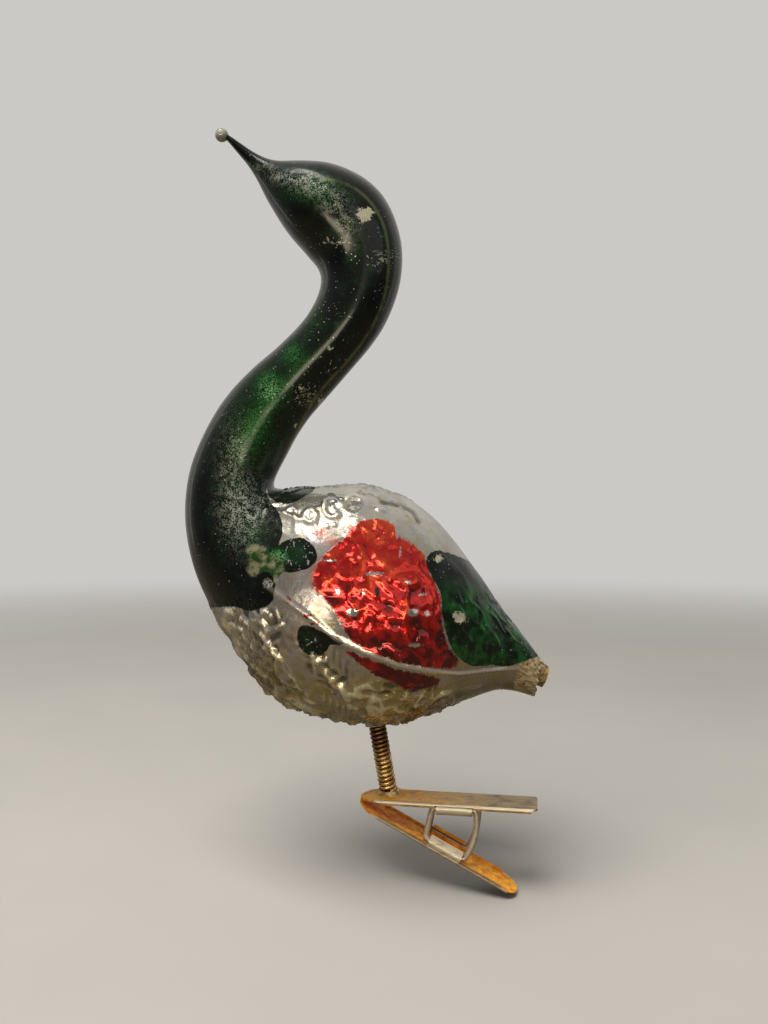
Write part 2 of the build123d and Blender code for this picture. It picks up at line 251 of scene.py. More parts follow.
# Chips and smears: x, z, half sizes.
TAN_CHIPS = [
    (0.6, 104.7, 1.25, 1.45), (1.5, 105.2, 0.9, 0.9), (-6.9, 70.9, 0.95, 0.75), (-10.6, 73.6, 0.5, 0.45),
    (17.6, 32.3, 1.1, 0.9), (13.9, 43.0, 0.8, 0.5), (-5.6, 80.9, 0.5, 0.4), (-11.8, 67.0, 0.5, 0.35),
]
SILVER_CHIPS = [
    (9.3, 33.2, 1.1, 0.7), (-1.6, 33.2, 1.2, 0.75), (9.7, 27.3, 1.3, 0.42), (8.4, 38.6, 0.9, 0.4),
    (2.3, 40.2, 1.9, 0.36), (-4.2, 37.0, 0.5, 0.5), (0.4, 36.8, 0.4, 0.7), (11.9, 33.0, 0.6, 0.6),
    (10.9, 36.4, 0.7, 0.3), (6.4, 47.6, 0.35, 1.3), (-5.8, 42.6, 1.4, 0.3), (7.0, 44.0, 0.3, 1.2),
]
PINK_SMEAR = [(-7.4, 47.9, 1.6, 1.3), (-8.0, 40.0, 1.6, 3.0), (-7.6, 34.6, 1.2, 1.4), (-5.2, 46.0, 1.6, 0.9)]
BLACK_SPECK = [(2.9, 36.9, 0.55, 0.85)]

# Middles of single round marks: x, z.
BLACK_SPOT, SPOT_SHINE, DROPLET_MIDDLE = (-17.3, 39.0), (-16.8, 38.4), (-11.6, 43.6)
FAR = 4.0  # distances from paint are cut off here


def side_view(points):
    """x, z of each point as seen from the side, so that paint laid out in that view lands where it looks
    right.
    """
    x, y, z = points.T
    nearer = EYE_DISTANCE / (EYE_DISTANCE - np.abs(y))
    return np.stack([EYE_AIM[0] + (x - EYE_AIM[0]) * nearer, EYE_AIM[1] + (z - EYE_AIM[1]) * nearer], -1)


def line_distance(p, line, closed=False):
    """Distance from each 2-D point to a line of points."""
    line = np.asarray(line, float)
    best = np.full(len(p), 1e9)
    for a, b in zip(line, np.roll(line, -1, 0) if closed else line[1:]):
        t = np.clip(((p - a) @ (b - a)) / max((b - a) @ (b - a), 1e-9), 0, 1)
        best = np.minimum(best, np.linalg.norm(p - a - t[:, None] * (b - a), axis=1))
    return best


def point_distance(p, point):
    return np.hypot(p[:, 0] - point[0], p[:, 1] - point[1])


def rounded(outline, closed=True):
    """The outline, or the open line, with its corners cut twice."""
    outline = np.asarray(outline, float)
    for _ in range(2):
        before, after = (outline, np.roll(outline, -1, 0)) if closed else (outline[:-1], outline[1:])
        outline = np.stack([0.75 * before + 0.25 * after, 0.25 * before + 0.75 * after], 1).reshape(-1, 2)
    return outline


def inside(p, outline):
    """Signed distance to an outline with rounded corners, positive inside it and no more than FAR."""
    outline = rounded(outline)
    odd = np.zeros(len(p), bool)
    for a, b in zip(outline, np.roll(outline, -1, 0)):
        crosses = (a[1] > p[:, 1]) != (b[1] > p[:, 1])
        rise = b[1] - a[1] if abs(b[1] - a[1]) > 1e-9 else 1e-9
        odd ^= crosses & (p[:, 0] < (b[0] - a[0]) * (p[:, 1] - a[1]) / rise + a[0])
    d = line_distance(p, outline, closed=True)
    return np.clip(np.where(odd, d, -d), -FAR, FAR)


def blobs(p, ellipses):
    """Signed distance, roughly, to a set of ellipses, positive inside them."""
    best = np.full(len(p), -FAR)
    for x, z, a, b in ellipses:
        d = 1 - np.hypot((p[:, 0] - x) / a, (p[:, 1] - z) / b)
        best = np.maximum(best, d * min(a, b))
    return best


def lumps(points, size, seed):
    """Smooth noise with features about `size` mm across."""
    return np.array([noise.noise(Vector((x / size + seed, y / size, z / size))) for x, y, z in points])


def ridges(points, size, width, seed):
    """Wandering ridges about `size` mm apart, 1 along their tops and 0 beside them."""
    return np.exp(-((lumps(points, size, seed) / width) ** 2))


def petals(p, warp, other_warp, length, width):
    """Leaf-shaped cells drawn out round the body: how near each point is to a rim and to a middle."""
    rim, middle = np.zeros(len(p)), np.zeros(len(p))
    x, z = (p - BODY_MIDDLE).T
    out = np.arcsin(np.clip(np.hypot(x, z) / BODY_REACH, 0, 1)) * BODY_REACH
    u, v = BODY_REACH * np.arctan2(z, x) / length + 0.5 * warp, out / width + 0.5 * other_warp
    for i, (a, b) in enumerate(zip(u, v)):
        (nearest, second, _, _), _ = noise.voronoi((a, b, 0.0))
        rim[i], middle[i] = second - nearest, nearest
    return np.exp(-((rim / 0.13) ** 2)), np.clip(1 - 1.5 * middle, 0, 1)


def glow(p, zones):
    """The strongest of a set of soft patches at each point."""
    best = np.zeros(len(p))
    for x, z, a, b, amount in zones:
        best = np.maximum(best, amount * np.exp(-(((p[:, 0] - x) / a) ** 2) - ((p[:, 1] - z) / b) ** 2))
    return best


def feathers(p, warp, row, width, lean):
    """Overlapping embossed feathers in rows: 0 at the root to 1 at the rounded tip, which ends in a step."""
    c, s = cos(lean), sin(lean)
    u = (p[:, 0] * c + p[:, 1] * s) / row + warp * 0.55
    v = (-p[:, 0] * s + p[:, 1] * c) / width + warp * 0.35
    height = np.zeros(len(p))
    for k in (0, 1):
        line = np.floor(u) - k
        across = np.abs((v + 0.5 * (line % 2)) % 1 - 0.5) * 2
        reach = 1.45 - 0.75 * across**2
        t = (u - line) / reach
        scale = np.where(t < 1, np.clip(t, 0, 1) ** 0.7 * (1 - 0.35 * across), 0)
        height = np.maximum(height, scale - 0.25 * k)
    return height


def bird_rings():
    """Cross-sections, smoothed and spaced for the mesh, and the length along the bird at each."""
    s = np.array(SECTIONS)
    step = 0.5 * (np.hypot(*np.diff(s[:, :2], axis=0).T) + np.hypot(*np.diff(s[:, 2:4], axis=0).T))
    length = np.concatenate([[0], np.cumsum(step)])
    fine = np.arange(0, length[-1], SECTION_STEP)
    dense = np.stack([np.interp(fine, length, column) for column in s.T], -1)
    reach, first, last = SMOOTHING_REACH, dense[0], dense[-1]
    padded = np.vstack([2 * first - dense[reach:0:-1], dense, 2 * last - dense[-2 : -reach - 2 : -1]])
    kernel = np.exp(-0.5 * (np.arange(-reach, reach + 1) / SMOOTHING) ** 2)
    kernel /= kernel.sum()
    smooth = np.stack([np.convolve(column, kernel, "valid") for column in padded.T], -1)
    # Rings lie closest together on the patterned body and at the beak's tip.
    gap = np.interp(fine, [0, 60, 68, 80, 150, 165, length[-1]], [0.36, 0.36, 0.4, 0.75, 0.75, 0.6, 0.3])
    share = SECTION_STEP / gap
    places = np.interp(np.linspace(0, 1, int(np.sum(share))), np.cumsum(share) / np.sum(share), fine)
    return np.stack([np.interp(places, fine, column) for column in smooth.T], -1), places


def bird_surface(rings):
    """A grid of points, one row for each cross-section."""
    angle = np.arange(AROUND) * 2 * pi / AROUND
    back, belly, half = rings[:, :2], rings[:, 2:4], rings[:, 4]
    middle, arm = (back + belly) / 2, (back - belly) / 2
    x = middle[:, :1] + arm[:, :1] * np.cos(angle)
    z = middle[:, 1:] + arm[:, 1:] * np.cos(angle)
    y = half[:, None] * np.sin(angle)
    return np.stack([x, y, z], -1)


def grid_normals(grid):
    """Outward normals of a grid of closed rings."""
    along = np.gradient(grid, axis=0)
    around = np.roll(grid, -1, 1) - np.roll(grid, 1, 1)
    n = np.cross(around, along)
    n /= np.linalg.norm(n, axis=2)[:, :, None] + 1e-12
    middle = grid.mean(1, keepdims=True)
    flip = np.sign(np.sum(n * (grid - middle), axis=2).mean())
    return n * flip


def line_relief(p, line, height, width):
    """A rounded ridge along a line."""
    return height * np.exp(-((line_distance(p, line) / width) ** 2))


def bird_relief(points, p, length):
    """Height of the moulded pattern, in mm: petals on the belly, curls on the wing, scrolls on the back."""
    warp = lumps(points, 5.5, 3.1)
    fine_warp = lumps(points, 1.9, 9.4)
    belly = line_distance(p, BELLY_RIDGE)
    on_body = smooth_steps(length, 4, 9) * smooth_steps(-length, -71, -60)
    wing = smooth_steps(inside(p, WING_RED), -0.6, 0.8)
    tail = smooth_steps(inside(p, TAIL_GREEN), 0.2, 2.0) * smooth_steps(-p[:, 1], -40, -34)
    seam_z = np.interp(p[:, 0], [a for a, _ in SEAM], [b for _, b in SEAM])
    under = smooth_steps(seam_z - p[:, 1], 2.0, 4.2) * (1 - smooth_steps(p[:, 0], 13, 20))
    back = smooth_steps(p[:, 1], 46, 50) * (1 - smooth_steps(p[:, 0], 8, 14))
    band = smooth_steps(1.8 - np.abs(belly - 3.4), 0, 0.8) * smooth_steps(-p[:, 0], -6, 2)
    bent = points + 1.2 * np.stack([fine_warp, warp, -fine_warp], -1)
    curls, scrolls = ridges(bent, 2.9, 0.10, 5.2), ridges(bent, 4.2, 0.055, 8.8)
    rims, middles = petals(p, warp, lumps(points, 4.5, 6.6), 5.2, 3.4)
    plumage = feathers(p, warp + 0.25 * fine_warp, 3.4, 3.8, radians(-38))
    h = wing * (0.40 * plumage + 0.34 * curls - 0.25)
    h += under * (1 - 0.85 * band) * (0.60 * rims + 0.36 * middles + 0.26 * curls - 0.30)
    h += 0.26 * back * scrolls + 0.20 * tail * (curls + middles - 0.5)
    h += 0.14 * fine_warp * (0.25 + 0.75 * np.maximum(wing, under)) + 0.16 * warp
    h += line_relief(p, SEAM, 0.32, 0.40) + line_relief(p, BELLY_RIDGE, 0.32, 0.5)
    h += line_relief(p, BREAST_RIDGE, 0.3, 0.5) + line_relief(p, SHOULDER_RIDGE, 0.3, 0.45)
    h -= line_relief(p, BACK_LINE, 0.22, 0.4)
    # A row of short teeth along the belly ridge.
    comb = 0.22 * np.maximum(0, np.sin(p[:, 0] * 2 * pi / 1.15))
    comb = comb * smooth_steps(1.3 - np.abs(belly - 3.0), 0, 0.6)
    h += comb * smooth_steps(-p[:, 0], -3, 1) * smooth_steps(p[:, 0], -9, -6)
    for x, z, r in ROUND_BOSSES:
        d = point_distance(p, (x, z))
        h += 0.3 * np.exp(-(((d - r) / 0.35) ** 2)) + 0.12 * np.exp(-((d / (0.5 * r)) ** 2))
    return h * on_body


def rim_jag(turn):
    """How far the broken rim of the tail stub stands out at each angle."""
    jag = np.zeros(len(turn))
    for height, reach, seed in ((0.55, 2.6, 4.0), (0.5, 8.0, 7.0)):
        jag += height * np.array([noise.noise(Vector((reach * cos(a), reach * sin(a), seed))) for a in turn])
    return jag


def paint(view, along):
    """Where each colour, mark and flaw lies, as distances and strengths at the points."""
    greens = [inside(view, a) for a in (NECK_GREEN, SHOULDER_GREEN, DROPLET, SEAM_BLOB, TAIL_GREEN)]
    return {
        "green": np.maximum.reduce(greens),
        "red": np.maximum(inside(view, WING_RED), inside(view, WING_SPILL)),
        "seam": line_distance(view, SEAM),
        "neck_reflection": line_distance(view, rounded(NECK_REFLECTION_LINE, closed=False)),
        "smear": inside(view, SHOULDER_GREEN),
        "patch": inside(view, CLEAR_NECK_PATCH),
        "tan": np.where(along < 0, 2, inside(view, TAN_STUB)),
        "frost_highlight": glow(view, SILVER_FROST_HIGHLIGHTS),
        "glow": glow(view, GREEN_GLOW_HIGHLIGHTS),
        "worn": glow(view, WORN_ZONES),
        "scratch": glow(view, SCRATCHED),
        "chip": blobs(view, TAN_CHIPS),
        "bare": blobs(view, SILVER_CHIPS),
        "speck": blobs(view, BLACK_SPECK),
        "pink": blobs(view, PINK_SMEAR),
        "ring": point_distance(view, BLACK_SPOT),
        "ring_low": point_distance(view, SPOT_SHINE),
        "drop": point_distance(view, DROPLET_MIDDLE),
    }


def make_bird():
    rings, length = bird_rings()
    smooth_grid = bird_surface(rings)
    normals = grid_normals(smooth_grid)
    points = smooth_grid.reshape(-1, 3)
    relief = bird_relief(points, side_view(points), np.repeat(length, AROUND))
    points = points + normals.reshape(-1, 3) * (relief - RELIEF_SINK)[:, None]
    # The broken rim of the tail stub.
    jag = rim_jag(np.arange(AROUND) * 2 * pi / AROUND) - 0.1
    axis = np.array([cos(STUB_TILT), 0, -sin(STUB_TILT)])
    fade = np.exp(-length / 1.2)
    grid = points.reshape(len(length), AROUND, 3) + (fade[:, None] * jag)[:, :, None] * axis
    # The inner wall of the stub, from inside outwards to the rim, has a negative length.
    depth = length[length < STUB_DEPTH]
    inner = grid[: len(depth)] - normals[: len(depth)] * STUB_WALL
    inner[0] += axis * 0.05
    full = np.concatenate([inner[::-1], grid])
    points, faces = capped(
        full.reshape(-1, 3), grid_faces(len(full), AROUND), (len(full) - 1) * AROUND, AROUND
    )
    along = np.append(np.repeat(np.concatenate([-depth[::-1] - 0.01, length]), AROUND), length[-1])
    relief = np.concatenate([np.zeros(len(inner) * AROUND), relief, [0]])
    marks = paint(side_view(points), along)
    return mesh_object("bird_glass", points, faces, relief=relief, along=along, **marks)


def make_bead():
    rows, columns = 20, 32
    t = np.linspace(0.02, pi - 0.02, rows)
    a = np.arange(columns) * 2 * pi / columns
    shape = np.stack([
        np.sin(t)[:, None] * np.cos(a), np.sin(t)[:, None] * np.sin(a), np.cos(t)[:, None] + 0 * a,
    ], -1) * BEAD_RADIUS
    shape[..., 0] *= 1 + 0.04 * np.sin(3 * a)  # not quite round
    points = shape.reshape(-1, 3) + BEAD
    faces = grid_faces(rows, columns)
    points, faces = capped(points, faces, 0, columns, flip=True)
    points, faces = capped(points, faces, (rows - 1) * columns, columns)
    return mesh_object("beak_bead", points, faces)


# ---- the coil leg and the hoops --------------------------
def leg_frame():
    """Directions up the leg and square to it."""
    up = (LEG_ENTRY - LEG_FOOT) / np.linalg.norm(LEG_ENTRY - LEG_FOOT)
    side = np.cross([0, 1, 0], up)
    side /= np.linalg.norm(side)
    return up, side, np.array([0, 1.0, 0])


def coil_half(name, start, end):
    """Turns of the leg between two distances from its foot."""
    up, e1, e2 = leg_frame()
    turns = (end - start) / COIL_PITCH
    s = np.linspace(0, 1, int(turns * 40) + 1)
    angle = 2 * pi * (start / COIL_PITCH + s * turns)
    radius = (COIL_OUTER - COIL_WIRE) / 2 + 0.02 * np.sin(angle * 0.37)
    out = np.cos(angle)[:, None] * e1 + np.sin(angle)[:, None] * e2
    path = LEG_FOOT + up * (start + s * (end - start))[:, None] + out * radius[:, None]
    sides = 12
    points = tube(path, COIL_WIRE / 2, sides)
    faces = grid_faces(len(path), sides)
    points, faces = capped(points, faces, 0, sides, flip=True)
    points, faces = capped(points, faces, (len(path) - 1) * sides, sides)
    away = np.linalg.norm((points - LEG_FOOT) - ((points - LEG_FOOT) @ up)[:, None] * up, axis=1)
    return mesh_object(name, points, faces, away=away)


def clip_to_row(points):
    """From the clip's own frame, where it points along +X, to the row frame."""
    c, s = cos(CLIP_YAW), sin(CLIP_YAW)
    x, y, z = np.asarray(points, float).T
    return np.stack([c * x - s * y, s * x + c * y, z], -1)


def rounded_loop(corners, radii, steps):
    """A closed 2-D loop with its corners rounded by quadratic curves."""
    path = []
    n = len(corners)
    for i in range(n):
        before, here, after = (np.array(corners[(i + k) % n], float) for k in (-1, 0, 1))
        a = here + (before - here) / np.linalg.norm(before - here) * radii[i]
        b = here + (after - here) / np.linalg.norm(after - here) * radii[i]
        for t in np.linspace(0, 1, steps):
            path.append((1 - t) ** 2 * a + 2 * t * (1 - t) * here + t * t * b)
    return np.array(path)


def make_hoop(name, side):
    half = JAW_HALF_ANGLE
    reach = EAR_LENGTH / 2 + HOOP_CORNER
    front, back = EAR_CENTRE - reach, EAR_CENTRE + reach

    def at(x, sign):
        """Place of the ears at x along the upper (1) or lower (-1) jaw, with +X halfway between the jaws."""
        return (x * cos(half) - EAR_DROP * sin(half), sign * (x * sin(half) + EAR_DROP * cos(half)))

    corners = [at(front, 1), at(back, 1), (at(back, 1)[0] + HOOP_BACK_BULGE, 0), at(back, -1), at(front, -1),
               (at(front, 1)[0] - HOOP_FRONT_BULGE, 0)]
    loop = rounded_loop(corners, HOOP_BENDS, 14)
    even = np.concatenate([loop, loop[:1]])
    length = np.concatenate([[0], np.cumsum(np.hypot(*np.diff(even, axis=0).T))])
    places = np.linspace(0, length[-1], 161)[:-1]
    loop = np.stack([np.interp(places, length, column) for column in even.T], -1)
    x = loop[:, 0] * cos(half) + loop[:, 1] * sin(half)
    z = -loop[:, 0] * sin(half) + loop[:, 1] * cos(half)
    path = np.stack([x, np.full(len(x), side * EAR_SIDE), z], -1)
    sides = 14
    points = tube(clip_to_row(path), HOOP_WIRE / 2, sides, closed=True)
    return mesh_object(name, points, grid_faces(len(path), sides, closed_rows=True))


# ---- materials -------------------------------------------
class Nodes:
    """A node tree built by small calls. A value given to a socket is a number, a colour or a socket."""

    def __init__(self, owner):
        owner.use_nodes = True
        self.nodes, self.links = owner.node_tree.nodes, owner.node_tree.links
        self.nodes.clear()

    def put(self, socket, value):
        if isinstance(value, bpy.types.NodeSocket):
            self.links.new(value, socket)
        elif isinstance(value, (tuple, list)) and len(value) == 3 and socket.type == "RGBA":
            socket.default_value = (*value, 1)
        else:
            socket.default_value = value

    def math(self, operation, *values):
        node = self.nodes.new("ShaderNodeMath")
        node.operation = operation
        for socket, value in zip(node.inputs, values):
            self.put(socket, value)
        return node.outputs[0]

    add, sub = partialmethod(math, "ADD"), partialmethod(math, "SUBTRACT")
    mul, max = partialmethod(math, "MULTIPLY"), partialmethod(math, "MAXIMUM")
    abs = partialmethod(math, "ABSOLUTE")

    def step(self, value, low, high, a=0.0, b=1.0):
        """a below low, b above high, smooth between."""
        node = self.nodes.new("ShaderNodeMapRange")
        node.interpolation_type = "SMOOTHSTEP"
        for socket, v in zip(node.inputs, (value, low, high, a, b)):
            self.put(socket, v)
        return node.outputs[0]

    def mix(self, factor, a, b):
        node = self.nodes.new("ShaderNodeMix")
        node.data_type = "RGBA"
        self.put(node.inputs[0], factor)
        self.put(node.inputs[6], a)
        self.put(node.inputs[7], b)
        return node.outputs[2]

    def split(self, vector):
        node = self.nodes.new("ShaderNodeSeparateXYZ")
        self.put(node.inputs[0], vector)
        return node.outputs


class Shader(Nodes):
    """A Principled material; mm is the place in the object's own frame, in millimetres."""

    def __init__(self, name):
        self.material = bpy.data.materials.new(name)
        super().__init__(self.material)
        out = self.nodes.new("ShaderNodeOutputMaterial")
        self.bsdf = self.nodes.new("ShaderNodeBsdfPrincipled")
        self.links.new(self.bsdf.outputs[0], out.inputs[0])
        coordinates = self.nodes.new("ShaderNodeTexCoord")
        scale = self.nodes.new("ShaderNodeVectorMath")
        scale.operation = "SCALE"
        scale.inputs["Scale"].default_value = 1 / MM
        self.links.new(coordinates.outputs["Object"], scale.inputs[0])
        self.mm = scale.outputs[0]

    def set(self, **values):
        for key, value in values.items():
            self.put(self.bsdf.inputs[key.replace("_", " ")], value)

    def noise(self, scale, detail=3.0, roughness=0.55, vector=None):
        """Fine noise, scale features to the millimetre."""
        node = self.nodes.new("ShaderNodeTexNoise")
        self.put(node.inputs["Vector"], vector or self.mm)
        for key, value in (("Scale", scale), ("Detail", detail), ("Roughness", roughness)):
            node.inputs[key].default_value = value
        return node.outputs[0]

    def cells(self, scale):
        """Distance from the nearest of scattered points."""
        node = self.nodes.new("ShaderNodeTexVoronoi")
        self.put(node.inputs["Vector"], self.mm)
        node.inputs["Scale"].default_value = scale
        return node.outputs["Distance"]

    def attribute(self, name):
        node = self.nodes.new("ShaderNodeAttribute")
        node.attribute_name = name
        return node.outputs["Fac"]

    def stretched(self, scale, rotation=(0, 0, 0)):
        """Coordinates in which features are `scale` times their size along each turned axis."""
        node = self.nodes.new("ShaderNodeMapping")
        node.vector_type = "TEXTURE"
        self.put(node.inputs["Vector"], self.mm)
        node.inputs["Scale"].default_value = scale
        node.inputs["Rotation"].default_value = rotation
        return node.outputs[0]

    def bump(self, height, distance):
        """distance in mm for a height of 1."""
        node = self.nodes.new("ShaderNodeBump")
        node.inputs["Strength"].default_value = 1.0
        node.inputs["Distance"].default_value = distance * MM
        self.put(node.inputs["Height"], height)
        return node.outputs[0]


def silvering(s, x, z):
    """Cream above, lilac and grey in the middle, olive and gold low down, nearly black in the hollows. The
    darkening towards the bottom, in the hollows and under the tail is painted shade; the pale crests are
    painted highlights and a warm patch at the bottom is a painted reflection; lilac and yellowed patches are
    the silver's own tint.

    Returns its colour and how far each place lies on the painted highlights of the crests.
    """
    relief = s.attribute("relief")
    # Painted shade: cream towards the top and darker olive low down, as the light falls.
    height = s.add(z, s.mul(s.noise(0.16, 3), 14.0))
    silver = s.mix(s.step(height, 28, 40), (0.44, 0.35, 0.13), (0.56, 0.52, 0.48))
    silver = s.mix(s.step(height, 46, 58), silver, (0.78, 0.75, 0.65))
    lilac = s.step(s.noise(0.30, 3, 0.5), 0.50, 0.64)
    silver = s.mix(s.mul(lilac, 0.6), silver, (0.55, 0.49, 0.56))
    yellowed = s.step(s.noise(0.55, 4, 0.6), 0.50, 0.68)
    silver = s.mix(s.mul(yellowed, 0.65), silver, (0.66, 0.55, 0.26))
    # Painted highlight: the crests of the relief are painted pale cream.
    crest_highlight = s.step(s.add(relief, s.step(z, 34, 26, 0.0, 0.06)), 0.24, 0.46)
    silver = s.mix(s.mul(crest_highlight, 0.75), silver, (0.95, 0.86, 0.56))
    # Painted shade: the hollows of the relief are painted nearly black.
    hollow_shade = s.step(relief, -0.24, 0.05, 1.0, 0.0)
    silver = s.mix(s.mul(hollow_shade, 0.85), silver, (0.085, 0.075, 0.035))
    # Painted shade under the tail.
    tail_under_shade = s.mul(s.step(x, 12, 18), s.step(z, 27, 22))
    silver = s.mix(s.mul(tail_under_shade, 0.7), silver, (0.30, 0.25, 0.14))
    # A painted warm reflection low on the body.
    copper_reflection = s.mul(s.step(z, 20.5, 17.5), s.step(s.abs(s.sub(x, 12.0)), 12.0, 5.0))
    return s.mix(s.mul(copper_reflection, 0.2), silver, (0.62, 0.36, 0.12)), crest_highlight


def red_lacquer(s, z, nibbled):
    """Bright on the crests and towards the top, deep low down and towards the tail, chipped to silver: partly
    thinner lacquer on the crests, partly painted highlights on the crests and top and painted shade low down.
    """
    # Brighter where the relief stands up and towards the top: partly thinner lacquer, partly painted
    # highlight; deeper low down as painted shade.
    depth = s.add(s.mul(s.attribute("relief"), 0.9), s.mul(s.sub(s.noise(0.5, 3), 0.5), 1.1))
    depth = s.add(depth, s.mul(s.sub(z, 36.0), 0.028))
    red = s.mix(s.step(depth, -0.30, 0.10), (0.13, 0.001, 0.001), (0.74, 0.006, 0.002))
    red = s.mix(s.step(depth, 0.12, 0.55), red, (0.98, 0.085, 0.010))
    flecks = s.step(s.noise(1.9, 4, 0.6), 0.675, 0.71)
    bare = s.step(s.add(s.attribute("bare"), nibbled), 0.0, 0.10)
    red = s.mix(s.max(bare, s.mul(flecks, 0.8)), red, (0.62, 0.58, 0.54))
    speck = s.step(s.add(s.attribute("speck"), s.mul(nibbled, 0.8)), 0.0, 0.08)
    return s.mix(speck, red, (0.006, 0.005, 0.005))


def green_lacquer_and_highlights(s, x, z, grain):
    """Green lacquer: nearly black where thick, greener where thin, with painted highlights where the lamps
    are reflected: a green glow with whitish middles, pale frosting and bright sparkle dots.
    """
    a = s.attribute
    thin = s.step(s.noise(0.45, 3), 0.46, 0.78)
    green = s.mix(thin, (0.0014, 0.0045, 0.0022), (0.005, 0.030, 0.009))
    tail_thin = s.step(s.add(s.noise(0.42, 3), s.mul(a("relief"), 0.25)), 0.40, 0.66)
    tail_tone = s.mix(tail_thin, (0.002, 0.018, 0.004), (0.016, 0.19, 0.026))
    green = s.mix(s.mul(s.step(x, 8, 12), s.step(z, 42, 34)), green, tail_tone)
    # Painted highlight: a bright green glow with a whitish middle where the lamps are reflected.
    green = s.mix(s.mul(a("glow"), s.step(grain, 0.36, 0.64)), green, (0.075, 0.36, 0.080))
    glow_core_highlight = s.mul(s.step(a("glow"), 0.35, 0.85), s.step(grain, 0.50, 0.62))
    green = s.mix(s.mul(glow_core_highlight, 0.7), green, (0.34, 0.66, 0.38))
    # Painted highlight: grains of the silvering lit pale where the lamps are reflected.
    frost_crystal_highlights = s.step(s.add(grain, s.mul(s.noise(1.0, 3), 0.6)), 0.74, 0.94)
    green = s.mix(s.mul(s.mul(a("frost_highlight"), 1.15), frost_crystal_highlights), green, (0.48, 0.52, 0.44))
    # Painted glints: scattered bright dots, more of them near the painted highlights.
    sparkle_glint = s.step(s.cells(5.5), 0.24, 0.10)
    sparse = s.step(s.add(s.noise(1.7, 3), s.mul(s.max(a("glow"), a("frost_highlight")), 0.16)), 0.60, 0.72)
    return s.mix(s.mul(s.mul(sparkle_glint, sparse), 0.8), green, (0.60, 0.66, 0.56))


def worn_green(s, green, grain, ragged, nibbled):
    """The green lacquer's clear patch, droplet with painted glints, chips, scratches, dots, a pale line along
    the neck and head that is a painted reflection, and smear.

    Returns its colour and where it is chipped.
    """
    a = s.attribute
    patch = s.mul(s.step(s.add(a("patch"), ragged), -0.2, 0.5), s.step(s.noise(1.2, 3, 0.6), 0.26, 0.40))
    patch_tone = s.mix(s.step(s.noise(0.62, 3, 0.5), 0.38, 0.62), (0.03, 0.13, 0.02), (0.62, 0.58, 0.34))
    green = s.mix(patch, green, patch_tone)
    drop = s.add(a("drop"), s.mul(ragged, 1.2))
    green = s.mix(s.mul(s.step(drop, 2.3, 0.9), s.step(grain, 0.3, 0.5)), green, (0.008, 0.06, 0.016))
    glints = s.mul(s.step(s.noise(1.4, 3, vector=s.stretched((0.6, 1, 1.3))), 0.58, 0.64),
                   s.step(s.abs(s.sub(drop, 2.0)), 0.9, 0.4))
    green = s.mix(s.mul(glints, 0.85), green, (0.72, 0.72, 0.68))
    worn = s.step(s.add(s.noise(1.7, 4, 0.68), s.mul(a("worn"), 0.115)), 0.69, 0.715)
    chip = s.step(s.add(a("chip"), s.add(s.mul(ragged, 2.0), s.mul(nibbled, 1.6))), 0.0, 0.10)
    chip = s.max(chip, worn)
    green = s.mix(chip, green, s.mix(s.noise(1.8, 3), (0.36, 0.34, 0.22), (0.68, 0.64, 0.48)))
    lines = s.noise(1.3, 3, 0.6, vector=s.stretched((2.2, 1.0, 0.28), (0, radians(-12), 0)))
    scratches = s.step(s.add(lines, s.mul(a("scratch"), 0.20)), 0.72, 0.78)
    scratches = s.mul(scratches, s.step(grain, 0.38, 0.5))
    green = s.mix(s.mul(scratches, 0.8), green, (0.50, 0.53, 0.42))
    dots = s.mul(s.step(s.cells(1.15), 0.13, 0.08), s.step(s.noise(0.5, 2), 0.50, 0.56))
    green = s.mix(dots, green, (0.72, 0.74, 0.62))
    # Painted reflection: a pale olive line along the neck and head.
    neck_reflection = s.step(s.add(a("neck_reflection"), s.mul(nibbled, 0.25)), 0.42, 0.10)
    neck_reflection = s.mul(neck_reflection, s.step(s.noise(0.35, 2), 0.36, 0.52, 0.3, 1.0))
    green = s.mix(s.mul(neck_reflection, 0.75), green, (0.17, 0.21, 0.08))
    smear = s.step(a("smear"), -0.2, 0.8)
    return s.mix(s.mul(smear, 0.6), green, (0.07, 0.10, 0.055)), chip


def marks_over(s, colour, green, x, grain, nibbled):
    """What shows over both colours: the pale seam, red splashes by it, and the black spot with its shine."""
    a = s.attribute
    seam = s.step(s.add(a("seam"), s.mul(nibbled, 0.35)), 0.50, 0.22)
    seam = s.mul(seam, s.step(green, 0.0, 1.0, 1.0, 0.3))
    spots = s.step(s.add(s.noise(0.9, 2), s.mul(s.abs(s.sub(a("seam"), 0.5)), -0.25)), 0.53, 0.57)
    splash = s.mul(spots, s.step(s.abs(s.sub(x, -8.8)), 3.6, 2.0))
    colour = s.mix(seam, colour, (0.80, 0.73, 0.66))
    colour = s.mix(s.mul(splash, s.step(a("seam"), 1.3, 0.9)), colour, (0.40, 0.012, 0.006))
    spot = s.add(a("ring"), s.mul(nibbled, 0.9))
    colour = s.mix(s.step(spot, 1.65, 1.45), colour, (0.002, 0.002, 0.0015))
    shine = s.mul(s.step(s.add(a("ring_low"), s.mul(nibbled, 1.2)), 1.05, 0.85), s.step(grain, 0.40, 0.52))
    return s.mix(shine, colour, (0.60, 0.60, 0.54))


def old_tan(s):
    """The streaky, unsilvered glass of the broken tail stub."""
    streaks = s.noise(1.6, 4, 0.6, vector=s.stretched((3.6, 0.7, 0.7), (0, STUB_TILT, 0)))
    tan = s.mix(s.step(streaks, 0.40, 0.62), (0.34, 0.23, 0.10), (0.70, 0.56, 0.32))
    return s.mix(s.step(s.noise(1.6, 3), 0.60, 0.68), tan, (0.06, 0.035, 0.015))


